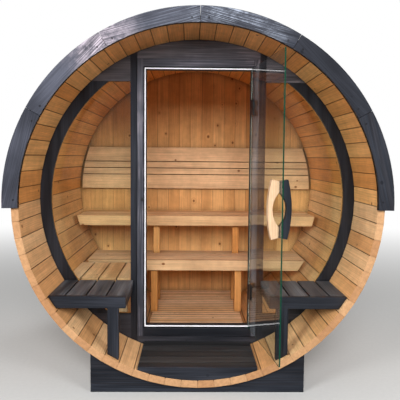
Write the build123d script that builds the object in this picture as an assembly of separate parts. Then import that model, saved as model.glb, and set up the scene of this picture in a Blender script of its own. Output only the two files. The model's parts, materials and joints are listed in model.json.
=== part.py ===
from build123d import *
from math import atan, cos, degrees, hypot, pi, radians, sin, sqrt, tan
import os

# Barrel sauna with a porch, millimetres.
# X runs to the right, Y runs from the porch to the back, Z runs up.
# The origin lies on the ground under the middle of the front cradle.
# Outlines are drawn on the cross-section of the barrel, with zero on its axis.
# Depths are counted from the front ends of the staves.

# Barrel
stave_count = 68
stave_width = 95.0
stave_thickness = 42.0
stave_joint = 0.8
stave_chamfer = 2.5
groove_depth = 8.0
groove_play = 0.1
barrel_length = 1900.0
ground_clearance = 38.0

# Cradles and steel bands
cradle_width = 1260.0
cradle_thickness = 60.0
cradle_inset = 30.0
cradle_lower_board = 94.0
cradle_seam = 1.0
seat_play = 0.1
band_width = 25.0
band_thickness = 2.0
band_count = 3
band_end_inset = 260.0

# Roof and its curved end boards
roof_half_angle = 90.5
course_count = 12
course_joint = 1.0
course_thin = 8.0
course_thick = 20.0
fascia_width = 90.0
fascia_thickness = 28.0
fascia_reach = 4.0
fascia_half_angle = 91.0
fascia_segments = 3
fascia_joint = 2.0

# Front wall
porch_depth = 465.0
wall_thickness = 42.0
ring_width = 71.0
pane_drop = 95.0
pane_thickness = 8.0
wall_post_width = 45.0

# Door frame
frame_clear_width = 712.0
frame_clear_height = 1712.0
jamb_width = 39.0
head_height = 48.0
sill_height = 53.0
jamb_depth = 66.0
jamb_proud = 10.0
stop_width = 18.0
rebate_depth = 22.0
seal_width = 8.0
seal_thickness = 6.0
seal_edge = 6.0
keep_width = 14.0
keep_height = 20.0
keep_thickness = 3.0

# Door
door_gap = 9.0
door_thickness = 8.0
door_set_back = 3.0
open_angle = 98.0
hinge_height = 98.0
hinge_level = 596.0
hinge_radius = 7.0
hinge_knuckle_gap = 1.0
hinge_pin_radius = 3.0
hinge_pin_play = 0.05
hinge_axis_proud = 10.0
hinge_plate_width = 46.0
hinge_plate_edge = 18.0
hinge_bridge_thickness = 6.0
hinge_bridge_sunk = 1.0
hinge_plate_thickness = 5.0
hinge_leaf_width = 30.0
handle_length = 324.0
handle_reach = 63.0
handle_thickness = 30.0
handle_edge = 50.0
handle_end_reach = 41.0
handle_end_slant = 9.0
grip_length = 187.0
grip_depth = 36.0

# Porch deck
deck_level = -950.0
deck_width = 702.0
deck_board_thickness = 25.0
deck_board_width = 94.0
deck_first_width = 52.0
deck_board_gap = 6.0
deck_front_thickness = 25.0
deck_front_set_back = 4.0
bearer_width = 45.0

# Porch benches and the cabin's side bench
seat_beside_door = 68.0
slat_width = 110.0
slat_gap = 10.0
slat_thickness = 28.0
rail_thickness = 28.0
bench_clearance = 2.0
porch_seat_level = -536.0
porch_rail_height = 70.0
porch_seat_slats = 4
porch_seat_set_back = 30.0
side_seat_drop = 19.0
side_rail_height = 70.0
leg_width = 64.0
leg_thickness = 45.0
leg_inset = 42.0

# Cabin
back_wall_inset = 48.0
back_board_count = 21
back_board_joint = 0.8
floor_level = -925.0
floor_width = 680.0
floor_slat_width = 48.0
floor_slat_gap = 8.0
floor_slat_thickness = 25.0
floor_bearer_offset = 245.0
cabin_slat_width = 136.0
cabin_slat_gap = 6.0
cabin_slat_count = 3
cabin_rail_height = 80.0
cabin_bench_clearance = 44.0
low_seat_level = -515.0
low_seat_reach = 734.0
high_seat_level = -198.0
high_seat_reach = 482.0
high_post_inset = 68.0
bench_support_offset = 326.0
bench_support_width = 50.0
bench_leg_depth = 95.0
bearer_height = 45.0
backrest_level = 0.0
backrest_wide = 120.0
backrest_narrow = 50.0
backrest_gap = 7.0
backrest_thickness = 20.0
backrest_clearance = 22.0
batten_thickness = 18.0
batten_width = 45.0

# Sizes that follow from those above
stave_step = 360.0 / stave_count
inner_radius = stave_width / 2 / tan(pi / stave_count)
outer_flat = inner_radius + stave_thickness
outer_half_width = outer_flat * tan(pi / stave_count) - stave_joint / 2
outer_radius = hypot(outer_flat, outer_half_width)
axis_height = outer_radius + ground_clearance
groove_radius = inner_radius + groove_depth
wall_radius = groove_radius - groove_play
band_flat = outer_flat + seat_play
roof_radius = (band_flat + band_thickness) / cos(pi / stave_count)
front_y = -(cradle_inset + cradle_thickness / 2)
ring_inner = inner_radius - ring_width
wall_back = porch_depth + wall_thickness
back_wall_front = barrel_length - back_wall_inset - wall_thickness
low_seat_front = back_wall_front - low_seat_reach
high_seat_front = back_wall_front - high_seat_reach
cabin_bench_radius = inner_radius - cabin_bench_clearance
side_seat_level = low_seat_level - side_seat_drop
frame_half = frame_clear_width / 2
frame_top = frame_clear_height / 2
frame_outer = frame_half + jamb_width
seat_inner_edge = frame_half + seat_beside_door
leg_inner_edge = seat_inner_edge + leg_inset
pane_half_height = frame_top - pane_drop
post_outer = frame_outer + wall_post_width
jamb_front = porch_depth - jamb_proud
stop_front = jamb_front + rebate_depth
door_half = frame_half - door_gap
door_top = frame_top - door_gap
door_front = jamb_front + door_set_back
hinge_x = frame_half
hinge_depth = jamb_front - hinge_axis_proud
knuckle_height = (hinge_height - 2 * hinge_knuckle_gap) / 3
slat_pitch = slat_width + slat_gap
cabin_slat_pitch = cabin_slat_width + cabin_slat_gap
right_angle = 90.0
seat_radius = inner_radius - bench_clearance


def box_outline(left, right, bottom, top):
    """Rectangle on the cross-section."""
    return Pos((left + right) / 2, (bottom + top) / 2) * Rectangle(right - left, top - bottom)


def between(outline, start, end):
    """Solid of a cross-section outline, from one depth to another."""
    plane = Plane(origin=(0, front_y + start, axis_height), x_dir=(1, 0, 0), z_dir=(0, -1, 0))
    return extrude(plane * outline, amount=start - end)


def block(left, right, bottom, top, start, end):
    """Box between two depths."""
    return between(box_outline(left, right, bottom, top), start, end)


def fitted(left, right, bottom, top, start, end, radius):
    """Box between two depths, its edges cut to a circle round the barrel's axis."""
    return between(box_outline(left, right, bottom, top) & Circle(radius), start, end)


def polar(radius, angle):
    """Point on the cross-section, the angle counted from the top to the right."""
    return (radius * sin(radians(angle)), radius * cos(radians(angle)))


def ring_piece(inner, outer, first, last):
    """Outline of a curved board between two radii and two angles."""
    middle = (first + last) / 2
    outer_arc = ThreePointArc(polar(outer, first), polar(outer, middle), polar(outer, last))
    end_line = Line(polar(outer, last), polar(inner, last))
    inner_arc = ThreePointArc(polar(inner, last), polar(inner, middle), polar(inner, first))
    start_line = Line(polar(inner, first), polar(outer, first))
    return make_face([outer_arc, end_line, inner_arc, start_line])


def mirrored(solid):
    """The same piece on the other side of the barrel."""
    return mirror(solid, about=Plane.YZ)


def turned(outline, number, step):
    """Outline drawn at the top of the barrel, turned clockwise by whole steps and a half."""
    return Rot(0, 0, -(number + 0.5) * step) * outline


def grooved_stave():
    """The stave at the top of the barrel, with sloping edges and a groove across it for each end wall."""
    inner_half_width = stave_width / 2 - stave_joint / 2
    chamfer_half_width = inner_half_width - stave_chamfer
    corners = [
        (-chamfer_half_width, inner_radius),
        (chamfer_half_width, inner_radius),
        (inner_half_width, inner_radius + stave_chamfer),
        (outer_half_width, outer_flat),
        (-outer_half_width, outer_flat),
        (-inner_half_width, inner_radius + stave_chamfer),
    ]
    board = between(Polygon(*corners, align=None), 0, barrel_length)
    for wall_front in (porch_depth, back_wall_front):
        groove = box_outline(-stave_width, stave_width, inner_radius - groove_depth, groove_radius)
        board -= between(groove, wall_front - groove_play, wall_front + wall_thickness + groove_play)
    return board


def staves(quarter):
    """A quarter of the barrel's staves, counted clockwise from the top."""
    quarter_count = stave_count // 4
    first = quarter * quarter_count
    top_stave = grooved_stave()
    boards = []
    for number in range(first, first + quarter_count):
        angle = (number + 0.5) * stave_step
        boards.append(top_stave.rotate(Axis((0, 0, axis_height), (0, 1, 0)), angle))
    return boards


def cradle(start):
    """Cradle of two stacked boards with a round seat for the barrel."""
    end = start + cradle_thickness
    half = cradle_width / 2
    seat = Circle(outer_radius + seat_play)
    seam = -axis_height + cradle_lower_board
    lower = box_outline(-half, half, -axis_height, seam) - seat
    shoulder_level = -sqrt(outer_radius ** 2 - half ** 2)
    upper = box_outline(0, half, seam + cradle_seam, shoulder_level) - seat
    upper_solid = between(upper, start, end)
    return [between(lower, start, end), upper_solid, mirrored(upper_solid)]


def stave_polygon(flat):
    """Closed outline with one side for each stave, at a distance from the barrel's axis."""
    corner = flat / cos(pi / stave_count)
    return Polygon(*[polar(corner, number * stave_step) for number in range(stave_count)], align=None)


def bands():
    """Steel bands pulled tight round the staves."""
    outline = stave_polygon(band_flat + band_thickness) - stave_polygon(band_flat)
    spacing = (barrel_length - 2 * band_end_inset) / (band_count - 1)
    rings = []
    for number in range(band_count):
        middle = band_end_inset + number * spacing
        rings.append(between(outline, middle - band_width / 2, middle + band_width / 2))
    return rings


def roof_course(number):
    """One course of the roof covering, thick at its lower edge."""
    step = roof_half_angle / course_count
    half_step = radians(step / 2)
    half_width = roof_radius * tan(half_step) - course_joint / 2
    corners = [
        (-half_width, roof_radius),
        (half_width, roof_radius),
        (half_width, roof_radius + course_thick),
        (-half_width, roof_radius + course_thin),
    ]
    return between(turned(Polygon(*corners, align=None), number, step), 0, barrel_length)


def roof_side():
    """The roof courses right of the ridge."""
    return [roof_course(number) for number in range(course_count)]


def fascia_side(start):
    """The curved end boards of the roof right of the ridge."""
    inner = inner_radius - fascia_reach
    outer = inner + fascia_width
    step = fascia_half_angle / fascia_segments
    half_joint = degrees(atan(fascia_joint / 2 / inner))
    boards = []
    for number in range(fascia_segments):
        first = number * step + half_joint
        last = (number + 1) * step - half_joint
        outline = ring_piece(inner, outer, first, last)
        boards.append(between(outline, start, start + fascia_thickness))
    return boards


def front_ring_side():
    """The curved edge of the front wall beside the right pane."""
    reach = degrees(atan(pane_half_height / sqrt(ring_inner ** 2 - pane_half_height ** 2)))
    blank = ring_piece(ring_inner, wall_radius, right_angle - reach, right_angle + reach)
    outline = blank & box_outline(post_outer, wall_radius, -pane_half_height, pane_half_height)
    return between(outline, porch_depth, wall_back)


def front_panel(left, right, bottom, top):
    """Piece of the front wall, its edges cut to the groove in the staves."""
    return fitted(left, right, bottom, top, porch_depth, wall_back, wall_radius)


def pane():
    """Fixed glass on the right of the door."""
    start = porch_depth + (wall_thickness - pane_thickness) / 2
    bottom = -pane_half_height
    return fitted(post_outer, ring_inner, bottom, pane_half_height, start, start + pane_thickness, ring_inner)


def door_jamb():
    """Upright of the door frame on the right."""
    bottom = -frame_top - sill_height
    top = frame_top + head_height
    return block(frame_half, frame_outer, bottom, top, jamb_front, jamb_front + jamb_depth)


def door_head():
    """Top of the door frame."""
    top = frame_top + head_height
    return block(-frame_half, frame_half, frame_top, top, jamb_front, jamb_front + jamb_depth)


def door_sill():
    """Bottom of the door frame."""
    bottom = -frame_top - sill_height
    return block(-frame_half, frame_half, bottom, -frame_top, jamb_front, jamb_front + jamb_depth)


def frame_outline(half_width, half_height, width):
    """Outline of a rectangular frame, measured at its outer edge."""
    outer = Rectangle(2 * half_width, 2 * half_height)
    inner = Rectangle(2 * (half_width - width), 2 * (half_height - width))
    return outer - inner


def door_stop():
    """Stop in the door frame that the door closes against."""
    return between(frame_outline(frame_half, frame_top, stop_width), stop_front, jamb_front + jamb_depth)


def door_seal():
    """White seal on the front of the stop."""
    outline = frame_outline(frame_half - seal_edge, frame_top - seal_edge, seal_width)
    return between(outline, stop_front - seal_thickness, stop_front)


def latch_keep():
    """Catch plate on the left jamb."""
    left = -frame_half - keep_width
    return block(left, -frame_half, -keep_height / 2, keep_height / 2, jamb_front - keep_thickness, jamb_front)


def opened(solid):
    """Piece of the door, turned from closed to the open rest pose."""
    return solid.rotate(Axis((hinge_x, front_y + hinge_depth, 0), (0, 0, 1)), open_angle)


def door_glass():
    """Glass leaf of the door."""
    return block(-door_half, door_half, -door_top, door_top, door_front, door_front + door_thickness)


def hinge_cylinder(radius, bottom, top):
    """Upright cylinder on the door's hinge axis."""
    centre = Pos(hinge_x, front_y + hinge_depth, axis_height + (bottom + top) / 2)
    return centre * Cylinder(radius, top - bottom)


def hinge_plates(level):
    """Moving half of a hinge, which clamps the glass from both sides."""
    bottom = level - hinge_height / 2
    top = level + hinge_height / 2
    right = door_half - hinge_plate_edge
    left = right - hinge_plate_width
    plate_front = door_front - hinge_plate_thickness
    rear = door_front + door_thickness
    front_plate = block(left, right, bottom, top, plate_front, door_front)
    rear_plate = block(left, right, bottom, top, rear, rear + hinge_plate_thickness)
    knuckle_bottom = level - knuckle_height / 2
    knuckle_top = level + knuckle_height / 2
    bridge_back = plate_front + hinge_bridge_sunk
    bridge_start = bridge_back - hinge_bridge_thickness
    bridge = block(left, hinge_x, knuckle_bottom, knuckle_top, bridge_start, bridge_back)
    knuckle = hinge_cylinder(hinge_radius, knuckle_bottom, knuckle_top)
    pin_hole = hinge_cylinder(hinge_pin_radius + hinge_pin_play, bottom, top)
    return [front_plate + bridge + knuckle - pin_hole, rear_plate]


def hinge_leaf(level):
    """Fixed half of a hinge, screwed to the jamb, with the pin."""
    solid = hinge_cylinder(hinge_pin_radius, level - hinge_height / 2, level + hinge_height / 2)
    for side in (-1, 1):
        middle = level + side * (knuckle_height + hinge_knuckle_gap)
        bottom = middle - knuckle_height / 2
        top = middle + knuckle_height / 2
        plate = block(hinge_x, hinge_x + hinge_leaf_width, bottom, top, jamb_front - hinge_plate_thickness, jamb_front)
        solid += plate + hinge_cylinder(hinge_radius, bottom, top)
    return solid


def handle(outward):
    """Bow handle cut from a board, with a round grip hole beside the glass."""
    half = handle_length / 2
    foot_level = half - handle_end_slant
    outer_arc = ThreePointArc((handle_end_reach, -half), (handle_reach, 0), (handle_end_reach, half))
    upper_end = Line((handle_end_reach, half), (0, foot_level))
    upper_foot = Line((0, foot_level), (0, grip_length / 2))
    inner_arc = ThreePointArc((0, grip_length / 2), (grip_depth, 0), (0, -grip_length / 2))
    lower_foot = Line((0, -grip_length / 2), (0, -foot_level))
    lower_end = Line((0, -foot_level), (handle_end_reach, -half))
    outline = make_face([outer_arc, upper_end, upper_foot, inner_arc, lower_foot, lower_end])
    left = -door_half + handle_edge
    face = door_front if outward else door_front + door_thickness
    direction = -1 if outward else 1
    origin = (left, front_y + face, axis_height)
    plane = Plane(origin=origin, x_dir=(0, direction, 0), z_dir=(direction, 0, 0))
    solid = extrude(plane * outline, amount=handle_thickness)
    if direction < 0:
        solid = Pos(handle_thickness, 0, 0) * solid
    return solid


def deck():
    """Porch deck boards, laid across the barrel from the front board to the wall."""
    half = deck_width / 2
    bottom = deck_level - deck_board_thickness
    near = deck_front_set_back + deck_front_thickness
    width = deck_first_width
    boards = []
    while near < porch_depth:
        far = min(near + width, porch_depth)
        boards.append(fitted(-half, half, bottom, deck_level, near, far, inner_radius))
        near = far + deck_board_gap
        width = deck_board_width
    return boards


def deck_front_board():
    """Board that closes the front of the deck, cut to the staves."""
    half = deck_width / 2
    start = deck_front_set_back
    end = start + deck_front_thickness
    return fitted(-half, half, -inner_radius, deck_level, start, end, inner_radius)


def deck_bearers():
    """Bearers under the deck and the cabin floor, resting on the staves."""
    runs = [
        (deck_front_set_back + deck_front_thickness, porch_depth, deck_level - deck_board_thickness),
        (wall_back, back_wall_front, floor_level - floor_slat_thickness),
    ]
    left = floor_bearer_offset - bearer_width / 2
    pieces = []
    for start, end, top in runs:
        bearer = fitted(left, left + bearer_width, -inner_radius, top, start, end, inner_radius)
        pieces.extend([bearer, mirrored(bearer)])
    return pieces


def seat_along(count, level, start, end):
    """Seat slats that run from front to back on the right side, following the staves."""
    slats = []
    for number in range(count):
        left = seat_inner_edge + number * slat_pitch
        right = left + slat_width
        if number == count - 1:
            right = inner_radius
        slats.append(fitted(left, right, level - slat_thickness, level, start, end, seat_radius))
    return slats


def seat_across(level, front):
    """Cabin seat slats that run from side to side behind the front board, their ends rounded to the barrel."""
    slats = []
    radius = cabin_bench_radius
    for number in range(cabin_slat_count):
        near = front + rail_thickness + number * cabin_slat_pitch
        bottom = level - slat_thickness
        slats.append(fitted(-radius, radius, bottom, level, near, near + cabin_slat_width, radius))
    return slats


def side_frame(level, rail_height, start, end, leg_front):
    """Side rail, two cross rails and a leg under a seat of slats that run from front to back."""
    low = level - rail_height
    under = level - slat_thickness
    inner = seat_inner_edge
    rail_inner = inner + rail_thickness
    leg_outer = leg_inner_edge + leg_width
    side_rail = block(inner, rail_inner, low, under, start, end)
    near_rail = fitted(rail_inner, inner_radius, low, under, start, start + rail_thickness, seat_radius)
    far_rail = fitted(rail_inner, inner_radius, low, under, end - rail_thickness, end, seat_radius)
    leg_back = leg_front + leg_thickness
    leg = fitted(leg_inner_edge, leg_outer, -inner_radius, low, leg_front, leg_back, inner_radius)
    return side_rail + near_rail + far_rail + leg


def porch_bench_frame():
    """Frame of the right porch bench, with the front board that closes its slats."""
    front = porch_seat_set_back
    behind = front + rail_thickness
    low = porch_seat_level - porch_rail_height
    front_board = fitted(seat_inner_edge, inner_radius, low, porch_seat_level, front, behind, seat_radius)
    return front_board + side_frame(porch_seat_level, porch_rail_height, behind, porch_depth, front)


def support_pair(bottom, top, start, end):
    """Two equal timbers under a bench, one on each side of the cabin."""
    left = bench_support_offset - bench_support_width / 2
    timber = block(left, left + bench_support_width, bottom, top, start, end)
    return timber + mirrored(timber)


def cabin_bench_frame(level, front, end):
    """Front board and two bearers of a bench across the cabin."""
    behind = front + rail_thickness
    low = level - cabin_rail_height
    under = level - slat_thickness
    radius = cabin_bench_radius
    front_board = fitted(-radius, radius, low, level, front, behind, radius)
    return front_board + support_pair(under - bearer_height, under, behind, end)


def low_bench_frame():
    """Frame of the lower bench, with legs at the front and the back."""
    behind = low_seat_front + rail_thickness
    back = behind + cabin_slat_count * cabin_slat_pitch - cabin_slat_gap
    under = low_seat_level - slat_thickness
    front_legs = support_pair(floor_level, under, behind, behind + bench_leg_depth)
    back_legs = support_pair(floor_level, under, back - bench_support_width, back)
    return cabin_bench_frame(low_seat_level, low_seat_front, back) + front_legs + back_legs


def high_bench_frame():
    """Frame of the upper bench, with short posts that stand on the lower bench."""
    under = high_seat_level - slat_thickness
    post_front = high_seat_front + high_post_inset
    posts = support_pair(low_seat_level, under, post_front, post_front + bench_support_width)
    return cabin_bench_frame(high_seat_level, high_seat_front, back_wall_front) + posts


def floor_grate():
    """Floor slats of the cabin."""
    slats = []
    pitch = floor_slat_width + floor_slat_gap
    count = int((back_wall_front - wall_back) // pitch)
    half = floor_width / 2
    for number in range(count):
        near = wall_back + floor_slat_gap + number * pitch
        bottom = floor_level - floor_slat_thickness
        slats.append(fitted(-half, half, bottom, floor_level, near, near + floor_slat_width, inner_radius))
    return slats


def backrest():
    """Four boards on two battens, two narrow boards between two wide ones."""
    height = 2 * backrest_wide + 2 * backrest_narrow + 3 * backrest_gap
    left = bench_support_offset - batten_width / 2
    start = back_wall_front - batten_thickness
    batten = block(left, left + batten_width, backrest_level, backrest_level + height, start, back_wall_front)
    solid = batten + mirrored(batten)
    bottom = backrest_level
    back = back_wall_front - batten_thickness
    radius = inner_radius - backrest_clearance
    for width in (backrest_wide, backrest_narrow, backrest_narrow, backrest_wide):
        top = bottom + width
        solid += fitted(-radius, radius, bottom, top, back - backrest_thickness, back, radius)
        bottom = top + backrest_gap
    return solid


def rear_wall():
    """Round back wall of upright boards."""
    pitch = 2 * wall_radius / back_board_count
    boards = []
    for number in range(back_board_count):
        left = -wall_radius + number * pitch + back_board_joint / 2
        right = left + pitch - back_board_joint
        back = back_wall_front + wall_thickness
        boards.append(fitted(left, right, -wall_radius, wall_radius, back_wall_front, back, wall_radius))
    return boards


def save(name, *shapes):
    """Write one named piece."""
    found = [solid for shape in shapes for solid in shape.solids()]
    piece = found[0] if len(found) == 1 else Compound(children=found)
    export_step(piece, f"parts/{name}.step")


def both_sides(*shapes):
    """Pieces drawn on the right, together with their mirror images."""
    return [*shapes, *[mirrored(shape) for shape in shapes]]


def save_pair(name, *shapes):
    """Write a piece drawn on the right and its mirror image under two names."""
    save(f"{name}_right", *shapes)
    save(f"{name}_left", *[mirrored(shape) for shape in shapes])


os.makedirs("parts", exist_ok=True)

save("cradle_front", *cradle(cradle_inset))
save("cradle_rear", *cradle(barrel_length - cradle_inset - cradle_thickness))
for quarter, name in enumerate(["upper_right", "lower_right", "lower_left", "upper_left"]):
    save(f"staves_{name}", *staves(quarter))
save("steel_bands", *bands())
save("roof_courses", *both_sides(*roof_side()))
save("front_fascia", *both_sides(*fascia_side(-fascia_thickness)))
save("rear_fascia", *both_sides(*fascia_side(barrel_length)))

save_pair("front_ring", front_ring_side())
shoulder = front_panel(post_outer, wall_radius, pane_half_height, wall_radius)
lower_panel = front_panel(post_outer, wall_radius, -wall_radius, -pane_half_height)
post = front_panel(frame_outer, post_outer, -wall_radius, wall_radius)
save("front_shoulders", *both_sides(shoulder))
save("front_lower_panels", *both_sides(lower_panel))
save("wall_posts", *both_sides(post))
save("front_top_panel", front_panel(-frame_outer, frame_outer, frame_top + head_height, wall_radius))
save("front_toe_panel", front_panel(-frame_outer, frame_outer, -wall_radius, -frame_top - sill_height))
save("side_windows", *both_sides(pane()))
save("door_jambs", *both_sides(door_jamb()))
save("door_head", door_head())
save("door_sill", door_sill())
save("door_stop", door_stop())
save("door_seal", door_seal())
save("latch_keep", latch_keep())
save("hinge_leaves", hinge_leaf(hinge_level), hinge_leaf(-hinge_level))

save("door_glass", opened(door_glass()))
hinge_halves = hinge_plates(hinge_level) + hinge_plates(-hinge_level)
save("door_hinge_plates", *[opened(piece) for piece in hinge_halves])
save("door_handle_outer", opened(handle(True)))
save("door_handle_inner", opened(handle(False)))

save("porch_deck", *deck())
save("porch_deck_front", deck_front_board())
save("floor_bearers", *deck_bearers())
porch_slat_start = porch_seat_set_back + rail_thickness
save_pair("porch_bench_seat", *seat_along(porch_seat_slats, porch_seat_level, porch_slat_start, porch_depth))
save_pair("porch_bench_frame", porch_bench_frame())

save("rear_wall", *rear_wall())
save("floor_grate", *floor_grate())
side_slats = seat_along(porch_seat_slats, side_seat_level, wall_back, low_seat_front)
side_bench_frame = side_frame(side_seat_level, side_rail_height, wall_back, low_seat_front, wall_back)
save("side_bench_seat", *[mirrored(slat) for slat in side_slats])
save("side_bench_frame", mirrored(side_bench_frame))
save("lower_bench_seat", *seat_across(low_seat_level, low_seat_front))
save("lower_bench_frame", low_bench_frame())
save("upper_bench_seat", *seat_across(high_seat_level, high_seat_front))
save("upper_bench_frame", high_bench_frame())
save("backrest", backrest())
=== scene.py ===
import json
import math
import random

import bmesh
import bpy
from mathutils import Matrix, Vector

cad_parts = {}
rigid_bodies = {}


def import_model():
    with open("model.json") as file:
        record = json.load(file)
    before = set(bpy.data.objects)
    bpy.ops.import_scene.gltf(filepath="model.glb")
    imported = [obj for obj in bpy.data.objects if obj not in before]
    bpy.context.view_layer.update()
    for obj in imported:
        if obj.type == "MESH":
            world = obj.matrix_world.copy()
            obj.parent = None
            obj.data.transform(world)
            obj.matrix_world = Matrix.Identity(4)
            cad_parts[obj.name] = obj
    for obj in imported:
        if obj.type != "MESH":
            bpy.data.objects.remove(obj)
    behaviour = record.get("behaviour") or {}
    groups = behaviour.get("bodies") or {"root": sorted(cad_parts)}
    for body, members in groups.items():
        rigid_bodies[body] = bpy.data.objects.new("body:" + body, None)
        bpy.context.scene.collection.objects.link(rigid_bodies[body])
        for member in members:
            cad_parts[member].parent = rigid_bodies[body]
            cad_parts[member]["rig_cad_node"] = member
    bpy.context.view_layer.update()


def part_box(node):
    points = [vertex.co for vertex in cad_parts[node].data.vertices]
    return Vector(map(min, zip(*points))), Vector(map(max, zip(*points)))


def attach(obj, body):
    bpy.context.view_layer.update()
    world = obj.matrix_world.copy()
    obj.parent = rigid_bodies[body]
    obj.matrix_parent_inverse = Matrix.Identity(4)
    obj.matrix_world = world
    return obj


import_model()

# The axes by number, to pick one part of a place or of a direction
X, Y, Z = range(3)

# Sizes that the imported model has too, metres
STAVE_COUNT = 68
STAVE_WIDTH = 0.095
STAVE_THICKNESS = 0.042
INNER_RADIUS = STAVE_WIDTH / 2 / math.tan(math.pi / STAVE_COUNT)
ROOF_HALF_ANGLE = math.radians(90.5)
COURSE_COUNT = 12
COURSE_THIN = 0.008
COURSE_THICK = 0.020
FASCIA_HALF_ANGLE = math.radians(91)
FASCIA_SEGMENTS = 3
BACK_BOARD_COUNT = 21
PANE_DEPTH = 0.426
OPEN_ANGLE = math.radians(98)
CABIN_RAIL_HEIGHT = 0.080
PORCH_RAIL_HEIGHT = 0.070
PORCH_SEAT_TOP = 0.5725

# Rows of boards, metres: from gap to gap, half a gap, and where a row starts
CABIN_SEAT_PITCH = 0.142
CABIN_SEAT_HALF_GAP = 0.003
BENCH_PITCH = 0.12
BENCH_EDGE = 0.419
GRATE_PITCH = 0.056
GRATE_HALF_GAP = 0.004
CRADLE_PITCH = 0.0945
CRADLE_HALF_GAP = 0.0005
DECK_PITCH = 0.1
DECK_START = 0.024
DOORWAY_EDGE = 0.395

# Pieces that only this script makes, lengths in metres
TAB_COUNT = 6
TAB_SLOT = 0.006
TAB_THICKNESS = 0.0035
TAB_CORNER = 0.012
TAB_PAST_COURSE = 0.0007
TAB_LIFT = 0.0008
TAB_SEED = 5
END_PLAY = 0.001
TONGUE_WIDTH = 0.006
TONGUE_THICKNESS = 0.010
TONGUE_PLAY = 0.0003
WALL_TONGUE_PLAY = 0.002
SCREW_RADIUS = 0.0055
SCREW_SIDES = 12
# From the rim to the recess: share of the radius, and height over the surface
SCREW_PROFILE = ((1.0, -0.0006), (0.94, 0.0005), (0.5, 0.0007), (0.36, -0.0012))
SCREW_INWARD = 0.021
SCREW_BESIDE_JOINT = math.radians(2.6)

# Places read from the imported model
band_low, band_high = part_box("steel_bands")
AXIS_HEIGHT = (band_low.z + band_high.z) / 2
ROOF_RADIUS = (band_high.z - band_low.z) / 2
roof_low, roof_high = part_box("roof_courses")
FASCIA_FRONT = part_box("front_fascia")[0].y

# Colours, written as the 0 to 255 values of a screen
PINE_WARM = ((239, 181, 116), (220, 151, 86))
# Lower staves: paler pine, painted light that falls on the lower half
PINE_LOW_LIT = ((239, 195, 146), (220, 164, 110))
PINE_WALL = ((234, 182, 124), (212, 154, 96))
PINE_FAIR = ((244, 208, 170), (228, 184, 138))
PINE_LINE = (170, 106, 58)
PINE_KNOT = (110, 62, 32)
PINE_END = ((186, 145, 106), (164, 120, 83))
STAIN_BLACK = ((22, 24, 29), (42, 45, 52))
# Shoulders, jambs and head: the black stain paler, partly painted sheen
STAIN_PANEL = ((54, 53, 58), (94, 89, 92))
STAIN_JAMB = ((50, 52, 60), (92, 92, 100))
# Top panel: the black stain much paler, a painted highlight
STAIN_TOP_HIGHLIGHT = ((80, 78, 84), (130, 124, 128))
STAIN_LOW = ((24, 26, 31), (52, 51, 56))
# Deck front and left bench frame: the black stain paler, as painted light from the front and the left
STAIN_FRONT_LIT = ((27, 30, 36), (53, 56, 64))
STAIN_SEAT = ((54, 58, 65), (106, 109, 115))
STAIN_DECK = ((38, 38, 40), (62, 62, 63))
STAIN_WORN = (155, 146, 155)
STAIN_BROWN = (42, 38, 39)
STAIN_GREY = (79, 81, 92)
# Streaks round the fascia's ridge: partly weathering, partly painted sheen
STAIN_STREAK_AND_SHEEN = (143, 150, 164)
# Painted shade on the fascia's inner edge
PAINTED_SHADE_DEEP = (10, 10, 12)
GLASS_CLEAR = (244, 250, 247)
DOOR_GLASS_EDGE = (18, 66, 50)
WINDOW_GLASS_EDGE = (60, 120, 100)
COAT_BLACK = ((22, 22, 24), (52, 52, 54))
STRAP_GREY = ((196, 198, 200), (150, 150, 150))
FELT_DARK = ((34, 35, 38), (92, 93, 97))
SEAL_WHITE = ((240, 240, 244), (214, 212, 210))
SCREW_DARK = ((28, 28, 30), (70, 66, 64))
FLOOR_PALE = ((202, 202, 201), (211, 211, 210))
FLOOR_BOUNCE = (112, 112, 114)

# Painted shade in gaps and inner corners: how far it reaches in metres, and the share of the colour left
# there
PINE_CORNER_SHADE = (0.014, 0.55)
RAIL_CORNER_SHADE = (0.03, 0.4)
WALL_CORNER_SHADE = (0.07, 0.35)
STAIN_CORNER_SHADE = (0.02, 0.35)

# Darker wood beside joints: half a board, the width of the dark edge in metres, and its strength
STAVE_SEAM = (STAVE_WIDTH / 2, 0.0045, 0.6)
GRATE_SEAM = (GRATE_PITCH / 2, 0.009, 0.75)
WALL_SEAM_WIDTH = 0.003
WALL_SEAM_STRENGTH = 0.25

# Wood grain, metres: how far apart the boards' patterns lie along and across it, and the rings
BOARD_SLIDE = 9.0
BOARD_LANE = 1.7
RING_SPACING = 0.0085

# Knots: places for one in a metre across the grain, the share of that along it, and the share
# of the places that have one under black stain
KNOT_SCALE = 7.0
KNOT_ALONG = 0.8
STAIN_KNOTS = 0.14

# Streaks: changes in a metre along the grain, across it and into the board
FINE_ALONG = 3.0
FINE_ACROSS = 220.0
BROAD_ALONG = 1.3
BROAD_ACROSS = 16.0
BROAD_INWARD = 6.0

# Surfaces: rounded and rubbed edges in metres, rays for edges and corners, and the index of glass
ROUND_EDGE = 0.003
RUBBED_EDGE = 0.004
NODE_SAMPLES = 4
GLASS_INDEX = 1.22

# Stage, light and camera, metres
FLOOR_RADIUS = 30.0
FLOOR_SIDES = 96
FLOOR_FADE_START = 2.6
FLOOR_FADE_END = 9.0
WORLD_LIGHT = 0.25
LAMP_TARGET = (0, 1.0, 1.0)
BACK_LAMP_TARGET = (0, 0.9, 1.2)
CAMERA_PLACE = (-0.049, -3.2214, 1.386)
CAMERA_YAW = math.radians(0.99)
CAMERA_PITCH = math.radians(4.40)
CAMERA_ROLL = math.radians(0.48)
CAMERA_LENS = 50.0
CAMERA_SENSOR = 36.0


def colour(screen):
    """Linear colour of a screen colour."""
    linear = []
    for value in screen:
        share = value / 255
        linear.append(share / 12.92 if share <= 0.04045 else ((share + 0.055) / 1.055) ** 2.4)
    return (*linear, 1.0)


# Tools for materials


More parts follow.
